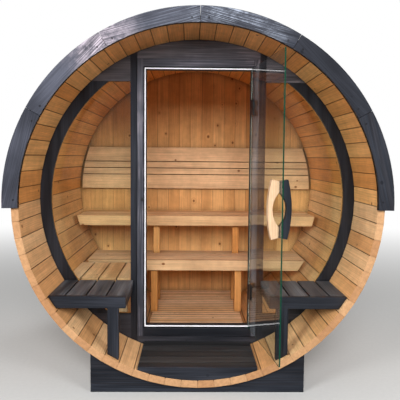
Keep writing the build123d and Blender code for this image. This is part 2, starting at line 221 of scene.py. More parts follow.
class Nodes:
    """The nodes of one material, with short calls that add a node and give back its output."""

    def __init__(self, name):
        self.material = bpy.data.materials.new(name)
        self.material.use_nodes = True
        self.tree = self.material.node_tree
        self.tree.nodes.clear()

    def put(self, socket, value):
        """Set a socket, or link it when the value comes from another node."""
        if isinstance(value, bpy.types.NodeSocket):
            self.tree.links.new(value, socket)
        else:
            socket.default_value = value

    def add(self, kind, inputs=None, **settings):
        """New node with its settings and its inputs."""
        node = self.tree.nodes.new(kind)
        for key, value in settings.items():
            setattr(node, key, value)
        for key, value in (inputs or {}).items():
            self.put(node.inputs[key], value)
        return node

    def math(self, operation, first, second=0.0):
        """Result of a sum on one or two numbers."""
        return self.add("ShaderNodeMath", {0: first, 1: second}, operation=operation).outputs[0]

    def plus(self, first, second):
        return self.math("ADD", first, second)

    def minus(self, first, second):
        return self.math("SUBTRACT", first, second)

    def times(self, first, second):
        return self.math("MULTIPLY", first, second)

    def diagonal(self, across, up):
        """Length of the slope over two sides at right angles."""
        squares = self.plus(self.math("POWER", across, 2.0), self.math("POWER", up, 2.0))
        return self.math("SQRT", squares)

    def dot(self, first, second):
        """How far two directions agree."""
        inputs = {0: first, 1: second}
        return self.add("ShaderNodeVectorMath", inputs, operation="DOT_PRODUCT").outputs["Value"]

    def blend(self, factor, first, second):
        """Surface between two surfaces."""
        return self.add("ShaderNodeMixShader", {0: factor, 1: first, 2: second}).outputs[0]

    def mix(self, factor, first, second, blend_type="MIX"):
        """Colour between two colours."""
        inputs = {"Factor": factor, 6: first, 7: second}
        return self.add("ShaderNodeMix", inputs, data_type="RGBA", blend_type=blend_type).outputs[2]

    def between(self, factor, shades):
        """Colour between two screen colours."""
        return self.mix(factor, colour(shades[0]), colour(shades[1]))

    def scaled(self, tint, value):
        """A colour times a plain number from nodes."""
        grey = self.add("ShaderNodeCombineColor", {0: value, 1: value, 2: value}).outputs[0]
        return self.mix(1.0, tint, grey, "MULTIPLY")

    def smooth(self, value, start, end, low=0.0, high=1.0):
        """A number that goes smoothly from low at start to high at end."""
        inputs = {0: value, 1: start, 2: end, 3: low, 4: high}
        return self.add("ShaderNodeMapRange", inputs, interpolation_type="SMOOTHSTEP").outputs[0]

    def vector(self, x, y, z):
        """Three numbers as one vector."""
        return self.add("ShaderNodeCombineXYZ", {0: x, 1: y, 2: z}).outputs[0]

    def noise(self, vector, scale, detail=2.0, roughness=0.5):
        """Soft random number from place to place."""
        inputs = {"Vector": vector, "Scale": scale, "Detail": detail, "Roughness": roughness}
        return self.add("ShaderNodeTexNoise", inputs).outputs[0]

    def point(self):
        """The place in the shared frame, as one vector."""
        return self.add("ShaderNodeTexCoord").outputs["Object"]

    def place(self):
        """The three coordinates of the place in the shared frame."""
        return self.add("ShaderNodeSeparateXYZ", {0: self.point()}).outputs

    def direction(self):
        """The direction that the surface faces, as one vector."""
        return self.add("ShaderNodeTexCoord").outputs["Normal"]

    def facing(self):
        """The three parts of the direction that the surface faces."""
        return self.add("ShaderNodeSeparateXYZ", {0: self.direction()}).outputs

    def finish(self, inputs, height, strength, distance, round_edge=0.0):
        """Principled surface, with a bump from height and with softly rounded edges."""
        shader = self.add("ShaderNodeBsdfPrincipled", inputs)
        bump = self.add("ShaderNodeBump", {"Strength": strength, "Distance": distance, "Height": height})
        if round_edge:
            bevel = self.add("ShaderNodeBevel", {"Radius": round_edge}, samples=NODE_SAMPLES)
            self.put(bump.inputs["Normal"], bevel.outputs[0])
        self.put(shader.inputs["Normal"], bump.outputs[0])
        self.show(shader.outputs[0])

    def show(self, surface):
        """Give the material its surface."""
        output = self.add("ShaderNodeOutputMaterial")
        self.put(output.inputs["Surface"], surface)


# Layouts of boards


def split(nodes, position, pitch):
    """Number of the board at a position, and the distance from its middle as a share of the pitch."""
    counted = nodes.math("DIVIDE", position, pitch)
    number = nodes.math("FLOOR", counted)
    return number, nodes.minus(nodes.minus(counted, number), 0.5)


def around_axis(nodes, place):
    """Height over the barrel's axis, and the angle counted from the top to the right."""
    rise = nodes.minus(place[Z], AXIS_HEIGHT)
    return rise, nodes.math("ARCTAN2", place[X], rise)


def board_row(grain, side, start=0.0, pitch=10.0, face=0.0):
    """Layout of flat boards side by side.

    grain and side are the axes that the boards run along and follow each other on, and face is
    where their face lies on the third axis. The layout gives the place along the grain, across
    the board and into it, the board's number, and how far the surface faces along the grain.
    """
    third = X + Y + Z - grain - side

    def layout(nodes):
        place = nodes.place()
        number, middle = split(nodes, nodes.minus(place[side], start), pitch)
        offset = nodes.times(middle, pitch)
        depth = nodes.minus(place[third], face)
        end_facing = nodes.math("ABSOLUTE", nodes.facing()[grain])
        return place[grain], offset, depth, number, end_facing

    return layout


def rail_underside(seat, rail_height):
    """Height at which a bench frame's rails end and its legs go on alone."""
    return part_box(seat)[1].z - rail_height


def bench_frame(legs_below):
    """Layout of a bench frame: level boards under the seat, and upright legs below them."""
    level = board_row(X, Z)
    upright = board_row(Z, X)

    def layout(nodes):
        leg = nodes.math("LESS_THAN", nodes.place()[Z], legs_below)
        mixed = []
        for first, second in zip(level(nodes), upright(nodes)):
            inputs = {0: leg, 2: first, 3: second}
            mixed.append(nodes.add("ShaderNodeMix", inputs, data_type="FLOAT").outputs[0])
        return mixed

    return layout


def stave_ring(nodes):
    """Layout of the staves, counted round the barrel's axis."""
    place = nodes.place()
    rise, angle = around_axis(nodes, place)
    number, middle = split(nodes, angle, math.tau / STAVE_COUNT)
    offset = nodes.times(middle, STAVE_WIDTH)
    depth = nodes.minus(nodes.diagonal(place[X], rise), INNER_RADIUS)
    end_facing = nodes.math("ABSOLUTE", nodes.facing()[Y])
    return place[Y], offset, depth, number, end_facing


def fascia_arc(nodes):
    """Layout of the curved end boards, with the grain along each segment's chord."""
    place = nodes.place()
    rise, angle = around_axis(nodes, place)
    step = FASCIA_HALF_ANGLE / FASCIA_SEGMENTS
    number = nodes.math("FLOOR", nodes.math("DIVIDE", angle, step))
    middle = nodes.times(nodes.plus(number, 0.5), step)
    sine = nodes.math("SINE", middle)
    cosine = nodes.math("COSINE", middle)
    outward = nodes.plus(nodes.times(place[X], sine), nodes.times(rise, cosine))
    along = nodes.minus(nodes.times(place[X], cosine), nodes.times(rise, sine))
    width = nodes.minus(outward, INNER_RADIUS)
    return along, width, nodes.minus(place[Y], FASCIA_FRONT), number, None


# Wood


def wood_grain(nodes, layout, seed, knot_share):
    """Streaks, growth rings, knots and a random tint for each board."""
    along, offset, depth, number, end_facing = layout(nodes)
    board = nodes.vector(number, seed, 0.5)
    chance = nodes.add("ShaderNodeTexWhiteNoise", {0: board}, noise_dimensions="3D")
    shift = nodes.add("ShaderNodeSeparateColor", {0: chance.outputs["Color"]}).outputs
    slid = nodes.plus(along, nodes.times(shift[0], BOARD_SLIDE))
    lane = nodes.plus(offset, nodes.times(number, BOARD_LANE))

    knot_place = nodes.vector(nodes.times(slid, KNOT_ALONG), lane, 0.0)
    inputs = {"Vector": knot_place, "Scale": KNOT_SCALE}
    cells = nodes.add("ShaderNodeTexVoronoi", inputs, voronoi_dimensions="2D")
    pick = nodes.add("ShaderNodeSeparateColor", {0: cells.outputs["Color"]}).outputs
    chosen = nodes.math("LESS_THAN", pick[0], knot_share)
    size = nodes.plus(nodes.times(pick[1], 0.04), 0.02)
    inside = nodes.smooth(nodes.minus(cells.outputs["Distance"], size), 0.03, -0.014)
    knot = nodes.times(inside, chosen)
    pull = nodes.times(nodes.smooth(cells.outputs["Distance"], 0.22, 0.0), chosen)

    bend = nodes.noise(nodes.vector(nodes.times(slid, 0.5), nodes.times(number, 3.1), 2.0), 1.0)
    pith_side = nodes.times(nodes.minus(bend, 0.5), 0.1)
    pith_side = nodes.plus(pith_side, nodes.times(nodes.minus(shift[2], 0.5), 0.1))
    pith_depth = nodes.plus(nodes.times(shift[2], 0.05), 0.03)
    from_pith = nodes.diagonal(nodes.minus(offset, pith_side), nodes.minus(depth, pith_depth))
    phase = nodes.plus(nodes.times(from_pith, math.tau / RING_SPACING), nodes.times(pull, 7.0))
    rings = nodes.smooth(nodes.math("SINE", phase), -0.5, 1.0)

    fine_lane = nodes.times(lane, FINE_ACROSS)
    fine_depth = nodes.times(depth, FINE_ACROSS)
    streaks = nodes.noise(nodes.vector(nodes.times(slid, FINE_ALONG), fine_lane, fine_depth), 1.0, 3.0, 0.6)
    broad_lane = nodes.times(lane, BROAD_ACROSS)
    broad_depth = nodes.times(depth, BROAD_INWARD)
    broad = nodes.noise(nodes.vector(nodes.times(slid, BROAD_ALONG), broad_lane, broad_depth), 1.0, 3.0)
    return {
        "offset": offset,
        "tint": shift[1],
        "rings": rings,
        "streaks": streaks,
        "broad": broad,
        "knot": knot,
        "end": nodes.smooth(end_facing, 0.75, 0.9) if end_facing is not None else 0.0,
    }


def pine_tint(nodes, grain, shades, tone=1.0, variety=1.0, figure=0.14):
    """Colour of planed pine without paint; figure is how strongly the growth rings show."""
    share = nodes.smooth(grain["tint"], 0.0, 1.0, 0.5 - variety / 2, 0.5 + variety / 2)
    tint = nodes.between(share, shades)
    tint = nodes.mix(nodes.times(grain["rings"], figure), tint, colour(PINE_LINE))
    tint = nodes.scaled(tint, nodes.smooth(grain["streaks"], 0.25, 0.75, 0.81, 1.13))
    tint = nodes.scaled(tint, nodes.smooth(grain["broad"], 0.2, 0.8, 0.84 * tone, 1.13 * tone))
    blotches = nodes.noise(nodes.point(), 14.0, 4.0, 0.6)
    tint = nodes.scaled(tint, nodes.smooth(blotches, 0.3, 0.7, 0.92, 1.07))
    halo = nodes.math("POWER", grain["knot"], 0.4)
    tint = nodes.mix(nodes.times(halo, 0.35), tint, colour(PINE_LINE))
    tint = nodes.mix(nodes.times(grain["knot"], 0.8), tint, colour(PINE_KNOT))
    sawn = nodes.noise(nodes.point(), 55.0, 5.0, 0.7)
    sawn_tint = nodes.between(grain["tint"], PINE_END)
    sawn_tint = nodes.scaled(sawn_tint, nodes.smooth(sawn, 0.3, 0.7, 0.84, 1.12))
    return nodes.mix(grain["end"], tint, sawn_tint)


def painted_corner_shade(nodes, tint, reach, low):
    """The same colour with painted shade: darker in gaps and inner corners, found by ambient occlusion."""
    shade = nodes.add("ShaderNodeAmbientOcclusion", {"Distance": reach}, samples=NODE_SAMPLES).outputs["AO"]
    return nodes.scaled(tint, nodes.smooth(shade, 0.35, 0.9, low, 1.0))


def darker_seam(nodes, grain, tint, half_board, width, strength):
    """The same colour, darker beside the joints of the boards."""
    from_middle = nodes.math("ABSOLUTE", grain["offset"])
    edge = nodes.smooth(from_middle, half_board - width, half_board - width / 5)
    edge = nodes.times(edge, nodes.smooth(grain["end"], 0.0, 1.0, strength, strength * 0.2))
    return nodes.scaled(tint, nodes.minus(1.0, edge))


def natural_wood(name, layout, seed, shades=PINE_FAIR, knots=0.2, tone=1.0, variety=1.0, figure=0.3,
                 seam=None, corners=PINE_CORNER_SHADE, legs_below=None):
    """Planed pine without paint; the legs under the height legs_below are warmer and darker, partly their
    own tint and partly painted shade under the seat.

    Each seed gives the boards a pattern of their own, and knots is the share of the places for a
    knot that have one.
    """
    nodes = Nodes(name)
    grain = wood_grain(nodes, layout, seed, knots)
    tint = pine_tint(nodes, grain, shades, tone, variety, figure)
    # Legs under the seat warmer and darker: partly their tint, partly painted shade
    if legs_below is not None:
        leg = nodes.math("LESS_THAN", nodes.place()[Z], legs_below)
        tint = nodes.mix(leg, tint, pine_tint(nodes, grain, PINE_WARM, tone, variety, figure))
    if seam:
        tint = darker_seam(nodes, grain, tint, *seam)
    # Painted shade: the wood darker in gaps and inner corners
    tint = painted_corner_shade(nodes, tint, *corners)
    roughness = nodes.smooth(grain["streaks"], 0.2, 0.8, 0.5, 0.64)
    height = nodes.minus(grain["streaks"], nodes.times(grain["rings"], 0.4))
    inputs = {"Base Color": tint, "Roughness": roughness, "Specular IOR Level": 0.25}
    nodes.finish(inputs, height, strength=0.25, distance=0.0006, round_edge=ROUND_EDGE)
    return nodes.material


def stained_wood(name, layout, seed, shades=STAIN_BLACK, wear_and_light=None, bare_from=None):
    """Pine under black wood stain, rubbed grey along its edges, partly wear and partly painted highlight;
    wood behind bare_from has no stain.
    """
    nodes = Nodes(name)
    grain = wood_grain(nodes, layout, seed, STAIN_KNOTS)
    tint = nodes.between(nodes.smooth(grain["broad"], 0.3, 0.75), shades)
    tint = nodes.mix(nodes.times(grain["rings"], 0.3), tint, colour(STAIN_BROWN))
    # Wear, and on the fascia also painted sheen and painted shade
    if wear_and_light:
        tint = wear_and_light(nodes, grain, tint)
    tint = nodes.scaled(tint, nodes.smooth(grain["streaks"], 0.3, 0.72, 0.65, 1.35))
    tint = nodes.scaled(tint, nodes.smooth(grain["tint"], 0.0, 1.0, 0.85, 1.15))
    tint = nodes.mix(nodes.times(grain["knot"], 0.7), tint, colour(shades[0]))
    # Edges rubbed grey: partly wear, partly painted highlight where edges catch the light
    rounded = nodes.add("ShaderNodeBevel", {"Radius": RUBBED_EDGE}, samples=NODE_SAMPLES).outputs[0]
    flat = nodes.add("ShaderNodeNewGeometry").outputs["Normal"]
    turned = nodes.dot(rounded, flat)
    edge = nodes.times(nodes.smooth(turned, 0.985, 0.8), nodes.smooth(grain["streaks"], 0.4, 0.7))
    tint = nodes.mix(nodes.times(edge, 0.4), tint, colour(STAIN_GREY))
    # Painted shade: the stain darker in gaps and inner corners
    tint = painted_corner_shade(nodes, tint, *STAIN_CORNER_SHADE)
    if bare_from is not None:
        inside = nodes.math("GREATER_THAN", nodes.place()[Y], bare_from)
        tint = nodes.mix(inside, tint, pine_tint(nodes, grain, PINE_WARM))
    roughness = nodes.smooth(grain["streaks"], 0.2, 0.8, 0.42, 0.6)
    height = nodes.minus(grain["streaks"], nodes.times(grain["rings"], 0.5))
    inputs = {"Base Color": tint, "Roughness": roughness, "Specular IOR Level": 0.3}
    nodes.finish(inputs, height, strength=0.35, distance=0.0008, round_edge=ROUND_EDGE)
    return nodes.material


def thin_stain(nodes, grain, tint):
    """Long pale streaks where the stain is thin."""
    patches = nodes.noise(nodes.point(), 3.5, 3.0, 0.6)
    thin = nodes.times(nodes.smooth(patches, 0.45, 0.7), nodes.smooth(grain["streaks"], 0.4, 0.62))
    return nodes.mix(nodes.times(thin, 0.4), tint, colour(STAIN_WORN))


def fascia_wear_and_light(nodes, grain, tint):
    """Greyer stain on the left, worn through on the upper left, pale streaks round the ridge, and a dark
    inner edge; the grey and the streaks are partly weathering and partly painted sheen, and the dark inner
    edge is painted shade.

    Angles count from the ridge in radians, to the left below zero.
    """
    angle = around_axis(nodes, nodes.place())[1]
    blotches = nodes.noise(nodes.point(), 9.0, 5.0, 0.7)
    drifts = nodes.noise(nodes.point(), 2.6, 2.0, 0.5)
    # Grey on the left: partly weathered stain, partly painted sheen
    grey = nodes.smooth(angle, 0.9, -0.6, 0.05, 0.75)
    grey = nodes.times(grey, nodes.smooth(drifts, 0.3, 0.65, 0.35, 1.0))
    tint = nodes.mix(grey, tint, colour(STAIN_GREY))
    left = nodes.times(nodes.smooth(angle, -0.80, -0.62), nodes.smooth(angle, -0.28, -0.46))
    left = nodes.times(left, nodes.smooth(blotches, 0.36, 0.58, 0.15, 1.0))
    left = nodes.times(left, nodes.smooth(grain["streaks"], 0.36, 0.6, 0.3, 1.0))
    tint = nodes.mix(left, tint, colour(STAIN_WORN))
    # Pale streaks round the ridge: partly weathering, partly painted sheen
    top = nodes.times(nodes.smooth(angle, -0.12, 0.05, 0.15, 1.0), nodes.smooth(angle, 0.56, 0.32))
    top = nodes.times(top, nodes.smooth(angle, -0.5, -0.34))
    top = nodes.times(top, nodes.smooth(blotches, 0.38, 0.62, 0.15, 0.9))
    top = nodes.times(top, nodes.smooth(grain["streaks"], 0.45, 0.62, 0.05, 1.0))
    tint = nodes.mix(top, tint, colour(STAIN_STREAK_AND_SHEEN))
    # Inner edge, facing the axis, darkened: painted shade
    normal = nodes.facing()
    sideways = nodes.times(normal[X], nodes.math("SINE", angle))
    upward = nodes.times(normal[Z], nodes.math("COSINE", angle))
    painted_shade_inner_edge = nodes.smooth(nodes.plus(sideways, upward), -0.5, -0.9)
    return nodes.mix(painted_shade_inner_edge, tint, colour(PAINTED_SHADE_DEEP))


# Other materials


def clear_glass(name, main_normal, edge_colour):
    """Clear sheet glass with faint wipe marks and coloured edges; light from lamps passes through."""
    nodes = Nodes(name)
    face_on = nodes.math("ABSOLUTE", nodes.dot(nodes.direction(), main_normal))
    edge = nodes.smooth(face_on, 0.7, 0.4)
    smears = nodes.noise(nodes.point(), 3.2, 4.0, 0.65)
    roughness = nodes.smooth(smears, 0.5, 0.8, 0.0, 0.05)
    tint = nodes.mix(edge, colour(GLASS_CLEAR), colour(edge_colour))
    inputs = {
        "Base Color": tint,
        "Roughness": roughness,
        "IOR": GLASS_INDEX,
        "Transmission Weight": nodes.smooth(edge, 0.0, 1.0, 1.0, 0.25),
    }
    shader = nodes.add("ShaderNodeBsdfPrincipled", inputs)
    through = nodes.add("ShaderNodeBsdfTransparent", {"Color": tint})
    shadow = nodes.add("ShaderNodeLightPath").outputs["Is Shadow Ray"]
    nodes.show(nodes.blend(shadow, shader.outputs[0], through.outputs[0]))
    return nodes.material


def powder_coat(name):
    """Black powder coat with a fine grain."""
    nodes = Nodes(name)
    place = nodes.point()
    grain = nodes.noise(place, 900.0, 2.0)
    dust = nodes.noise(place, 30.0, 3.0)
    tint = nodes.between(nodes.smooth(dust, 0.45, 0.8), COAT_BLACK)
    roughness = nodes.smooth(dust, 0.3, 0.7, 0.34, 0.5)
    inputs = {"Base Color": tint, "Roughness": roughness}
    nodes.finish(inputs, grain, strength=0.2, distance=0.0003, round_edge=0.0008)
    return nodes.material


def strap_steel(name):
    """Stainless strap with marks along its length."""
    nodes = Nodes(name)
    place = nodes.place()
    changes_in_a_metre = (3.0, 700.0, 3.0)
    drawn_out = nodes.vector(*[nodes.times(place[axis], changes_in_a_metre[axis]) for axis in (X, Y, Z)])
    lines = nodes.noise(drawn_out, 1.0, 2.0)
    stains = nodes.noise(nodes.point(), 12.0, 4.0)
    tint = nodes.between(nodes.smooth(stains, 0.4, 0.75), STRAP_GREY)
    roughness = nodes.smooth(lines, 0.25, 0.75, 0.26, 0.42)
    inputs = {"Base Color": tint, "Metallic": 1.0, "Roughness": roughness}
    nodes.finish(inputs, lines, strength=0.15, distance=0.0002, round_edge=0.0004)
    return nodes.material


def roof_felt(name):
    """Mineral felt: dark chips in bitumen, dusty in places."""
    nodes = Nodes(name)
    place = nodes.point()
    chips = nodes.add("ShaderNodeTexVoronoi", {"Vector": place, "Scale": 420.0})
    shade = nodes.add("ShaderNodeSeparateColor", {0: chips.outputs["Color"]}).outputs[0]
    dust = nodes.noise(place, 5.0, 4.0, 0.6)
    tint = nodes.between(nodes.smooth(shade, 0.35, 1.0), FELT_DARK)
    tint = nodes.scaled(tint, nodes.smooth(dust, 0.25, 0.75, 0.78, 1.18))
    roughness = nodes.smooth(shade, 0.0, 1.0, 0.78, 0.95)
    inputs = {"Base Color": tint, "Roughness": roughness}
    nodes.finish(inputs, chips.outputs["Distance"], strength=0.5, distance=0.001)
    return nodes.material


def seal_strip(name):
    """White seal strip, a little dusty."""
    nodes = Nodes(name)
    place = nodes.point()
    dust = nodes.noise(place, 24.0, 3.0)
    tint = nodes.between(nodes.smooth(dust, 0.5, 0.8), SEAL_WHITE)
    roughness = nodes.smooth(dust, 0.3, 0.7, 0.4, 0.55)
    inputs = {"Base Color": tint, "Roughness": roughness}
    nodes.finish(inputs, nodes.noise(place, 300.0), strength=0.1, distance=0.0003, round_edge=0.002)
    return nodes.material


def screw_steel(name):
    """Screw heads, stained with the wood round them."""
    nodes = Nodes(name)
    spots = nodes.noise(nodes.point(), 260.0, 2.0)
    tint = nodes.between(nodes.smooth(spots, 0.35, 0.7), SCREW_DARK)
    roughness = nodes.smooth(spots, 0.3, 0.7, 0.35, 0.55)
    inputs = {"Base Color": tint, "Metallic": 0.8, "Roughness": roughness}
    nodes.finish(inputs, spots, strength=0.1, distance=0.0002)
    return nodes.material


# Small pieces


def make_piece(name, mesh_builder, material, body="sauna"):
    """New piece from a bmesh, riding on a body."""
    mesh = bpy.data.meshes.new(name)
    mesh_builder.normal_update()
    mesh_builder.to_mesh(mesh)
    mesh_builder.free()
    mesh.materials.append(material)
    piece = bpy.data.objects.new(name, mesh)
    bpy.context.scene.collection.objects.link(piece)
    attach(piece, body)


def polar(radius, angle, y):
    """Point round the barrel's axis, the angle counted from the top to the right."""
    return Vector((radius * math.sin(angle), y, AXIS_HEIGHT + radius * math.cos(angle)))


def add_prism(builder, lower, upper):
    """Closed solid between two outlines with the same number of corners."""
    bottom = [builder.verts.new(corner) for corner in lower]
    top = [builder.verts.new(corner) for corner in upper]
    builder.faces.new(list(reversed(bottom)))
    builder.faces.new(top)
    for number in range(len(lower)):
        following = (number + 1) % len(lower)
        builder.faces.new((bottom[number], bottom[following], top[following], top[number]))


def shingle_tab(builder, number, side, start, end, chance):
    """One shingle tab that lies on its course, with clipped lower corners."""
    step = ROOF_HALF_ANGLE / COURSE_COUNT
    middle = (number + 0.5) * step * side
    half = ROOF_RADIUS * math.tan(step / 2)
    outward = Vector((math.sin(middle), 0, math.cos(middle)))
    down = Vector((math.cos(middle), 0, -math.sin(middle))) * side
    axis = Vector((0, 0, AXIS_HEIGHT))
    lift = chance.uniform(0, TAB_LIFT)

    def on_course(drop, y):
        share = (drop + half) / (2 * half)
        height = ROOF_RADIUS + COURSE_THIN + (COURSE_THICK - COURSE_THIN) * share
        point = axis + outward * (height + lift * share) + down * drop
        return Vector((point.x, y, point.z))

    head = END_PLAY - half
    foot = half + TAB_PAST_COURSE
    outline = [
        (head, start), (foot - TAB_CORNER, start), (foot, start + TAB_CORNER),
        (foot, end - TAB_CORNER), (foot - TAB_CORNER, end), (head, end),
    ]
    lower = [on_course(drop, y) for drop, y in outline]
    upper = [corner + outward * TAB_THICKNESS for corner in lower]
    if side > 0:
        lower.reverse()
        upper.reverse()
    add_prism(builder, lower, upper)


def roof_tabs():
    """Shingle tabs over the whole roof, each row shifted by half a tab."""
    builder = bmesh.new()
    chance = random.Random(TAB_SEED)
    length = roof_high.y - roof_low.y
    pitch = length / TAB_COUNT
    for side in (-1, 1):
        for number in range(COURSE_COUNT):
            edge = roof_low.y - (number % 2) * pitch / 2
            while edge < roof_high.y - TAB_SLOT:
                start = max(edge + TAB_SLOT / 2, roof_low.y + END_PLAY)
                end = min(edge + pitch - TAB_SLOT / 2, roof_high.y - END_PLAY)
                shingle_tab(builder, number, side, start, end, chance)
                edge += pitch
    return builder


def add_strip(builder, start, end, across, outward):
    """Straight strip between two points, with half its width and half its thickness as vectors."""
    corners = (across + outward, outward - across, -across - outward, across - outward)
    add_prism(builder, [start + corner for corner in corners], [end + corner for corner in corners])


def stave_tongues():
    """The tongue that closes each joint of the staves."""
    builder = bmesh.new()
    low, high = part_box("staves_upper_left")
    middle = INNER_RADIUS + STAVE_THICKNESS / 2
    for number in range(STAVE_COUNT):
        angle = number * math.tau / STAVE_COUNT
        across = Vector((math.cos(angle), 0, -math.sin(angle))) * TONGUE_WIDTH / 2
        outward = Vector((math.sin(angle), 0, math.cos(angle))) * TONGUE_THICKNESS / 2
        start = polar(middle, angle, low.y + TONGUE_PLAY)
        end = polar(middle, angle, high.y - TONGUE_PLAY)
        add_strip(builder, start, end, across, outward)
    return builder


def rear_wall_tongues():
    """The tongue that closes each joint of the back wall."""
    builder = bmesh.new()
    low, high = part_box("rear_wall")
    radius = (high.x - low.x) / 2 - WALL_TONGUE_PLAY
    middle = (low.y + high.y) / 2
    across = Vector((TONGUE_WIDTH / 2, 0, 0))
    outward = Vector((0, TONGUE_THICKNESS / 2, 0))
    for number in range(1, BACK_BOARD_COUNT):
        x = low.x + number * (high.x - low.x) / BACK_BOARD_COUNT
        reach = math.sqrt(radius ** 2 - x ** 2)
        start = Vector((x, middle, AXIS_HEIGHT - reach))
        end = Vector((x, middle, AXIS_HEIGHT + reach))
        add_strip(builder, start, end, across, outward)
    return builder


def add_screw(builder, point, direction):
    """Round screw head with a drive recess, let into the surface."""
    turn = direction.to_track_quat("Z", "Y").to_matrix().to_4x4()
    placed = Matrix.Translation(point) @ turn
    loops = []
    for share, height in SCREW_PROFILE:
        ring_radius = SCREW_RADIUS * share
        loop = []
        for number in range(SCREW_SIDES):
            angle = number * math.tau / SCREW_SIDES
            corner = Vector((ring_radius * math.cos(angle), ring_radius * math.sin(angle), height))
            loop.append(builder.verts.new(placed @ corner))
        loops.append(loop)
    for outer, inner in zip(loops, loops[1:]):
        for number in range(SCREW_SIDES):
            following = (number + 1) % SCREW_SIDES
            builder.faces.new((outer[number], outer[following], inner[following], inner[number]))
    builder.faces.new(loops[-1])
    builder.faces.new(list(reversed(loops[0])))


def fascia_screws():
    """A screw on each side of every joint of the curved boards, front and back."""
    builder = bmesh.new()
    step = FASCIA_HALF_ANGLE / FASCIA_SEGMENTS
    radius = INNER_RADIUS + SCREW_INWARD
    for end_name, direction in (("front_fascia", -1), ("rear_fascia", 1)):
        low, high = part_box(end_name)
        y = low.y if direction < 0 else high.y
        for number in range(-FASCIA_SEGMENTS, FASCIA_SEGMENTS):
            first = number * step + SCREW_BESIDE_JOINT
            second = (number + 1) * step - SCREW_BESIDE_JOINT
            for angle in (first, second):
                add_screw(builder, polar(radius, angle, y), Vector((0, direction, 0)))
    return builder


# What each piece wears


def dress(node, material):
    """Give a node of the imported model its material."""
    found = next(piece for piece in bpy.data.objects if piece.get("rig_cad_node") == node)
    for slot in found.material_slots:
        slot.material = material


def dress_barrel():
    """Staves, warmer in the upper half than in the lower, whose paler pine is painted light, and the roof
    over them.
    """
    # The lower staves' paler pine is painted light
    for half, name, shades in (("upper", "pine_staves", PINE_WARM), ("lower", "pine_low_staves_lit", PINE_LOW_LIT)):
        wood = natural_wood(name, stave_ring, 3.0, shades, knots=0.14, figure=0.16, seam=STAVE_SEAM)
        for side in ("left", "right"):
            dress(f"staves_{half}_{side}", wood)
    for part, seed in (("front_fascia", 43.0), ("rear_fascia", 44.0)):
        dress(part, stained_wood(f"stain_{part}", fascia_arc, seed, wear_and_light=fascia_wear_and_light))
    dress("roof_courses", roof_felt("felt_courses"))
    dress("steel_bands", strap_steel("strap_bands"))


def dress_back_wall():
    """Boards of the back wall, and the backrest on them."""
    low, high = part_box("rear_wall")
    pitch = (high.x - low.x) / BACK_BOARD_COUNT
    seam = (pitch / 2, WALL_SEAM_WIDTH, WALL_SEAM_STRENGTH)
    boards = board_row(Z, X, low.x, pitch)
    wall = natural_wood("pine_back_wall", boards, 11.0, PINE_WALL, knots=0.34, variety=0.6, figure=0.22,
                        seam=seam, corners=WALL_CORNER_SHADE)
    dress("rear_wall", wall)
    backrest = natural_wood("pine_backrest", board_row(X, Z), 17.0, tone=0.98, corners=RAIL_CORNER_SHADE)
    dress("backrest", backrest)


def dress_cabin():
    """Benches and floor of the cabin."""
    for bench, seed, tone in (("lower_bench", 21.0, 0.8), ("upper_bench", 23.0, 0.92)):
        legs = rail_underside(f"{bench}_seat", CABIN_RAIL_HEIGHT)
        # The legs take the warmer pine: partly their tint, partly painted shade under the seat
        frame_wood = natural_wood(f"pine_{bench}", bench_frame(legs), seed, tone=tone,
                                  corners=RAIL_CORNER_SHADE, legs_below=legs)
        dress(f"{bench}_frame", frame_wood)
    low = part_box("lower_bench_seat")[0]
    boards = board_row(X, Y, low.y - CABIN_SEAT_HALF_GAP, CABIN_SEAT_PITCH)
    dress("lower_bench_seat", natural_wood("pine_low_seat", boards, 27.0, tone=1.06))
    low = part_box("upper_bench_seat")[0]
    boards = board_row(X, Y, low.y - CABIN_SEAT_HALF_GAP, CABIN_SEAT_PITCH)
    dress("upper_bench_seat", natural_wood("pine_high_seat", boards, 29.0))
    boards = board_row(Y, X, -BENCH_EDGE, BENCH_PITCH)
    # Tone above 1 paints the side seat paler: painted reflection of daylight in the pane before it
    dress("side_bench_seat", natural_wood("pine_side_seat", boards, 31.0, tone=1.06))
    side_frame = bench_frame(rail_underside("side_bench_seat", PORCH_RAIL_HEIGHT))
    dress("side_bench_frame", natural_wood("pine_side_frame", side_frame, 33.0))
    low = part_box("floor_grate")[0]
    boards = board_row(X, Y, low.y - GRATE_HALF_GAP, GRATE_PITCH)
    # Tone above 1 paints the floor boards lighter: painted light
    dress("floor_grate", natural_wood("pine_floor", boards, 37.0, tone=1.06, seam=GRATE_SEAM))
    dress("floor_bearers", natural_wood("pine_bearers", board_row(Y, X), 39.0, tone=0.9))


def dress_front_wall(upright, level):
    """Front wall round the doorway and the windows, black outside and bare behind the panes."""
    ring = stained_wood("stain_wall_upright", upright, 46.0, bare_from=PANE_DEPTH)
    for part in ("front_ring_left", "front_ring_right", "wall_posts"):
        dress(part, ring)
    # Shoulders in a paler stain: partly painted sheen
    shoulders = stained_wood("stain_wall_level", level, 48.0, STAIN_PANEL, thin_stain, PANE_DEPTH)
    dress("front_shoulders", shoulders)
    low_panel = stained_wood("stain_low_panel", level, 52.0, STAIN_LOW, bare_from=PANE_DEPTH)
    for part in ("front_lower_panels", "front_toe_panel"):
        dress(part, low_panel)
    # Top panel in a much paler stain: painted highlight
    top_panel = stained_wood("stain_top_panel", level, 48.0, STAIN_TOP_HIGHLIGHT, thin_stain, PANE_DEPTH)
    dress("front_top_panel", top_panel)


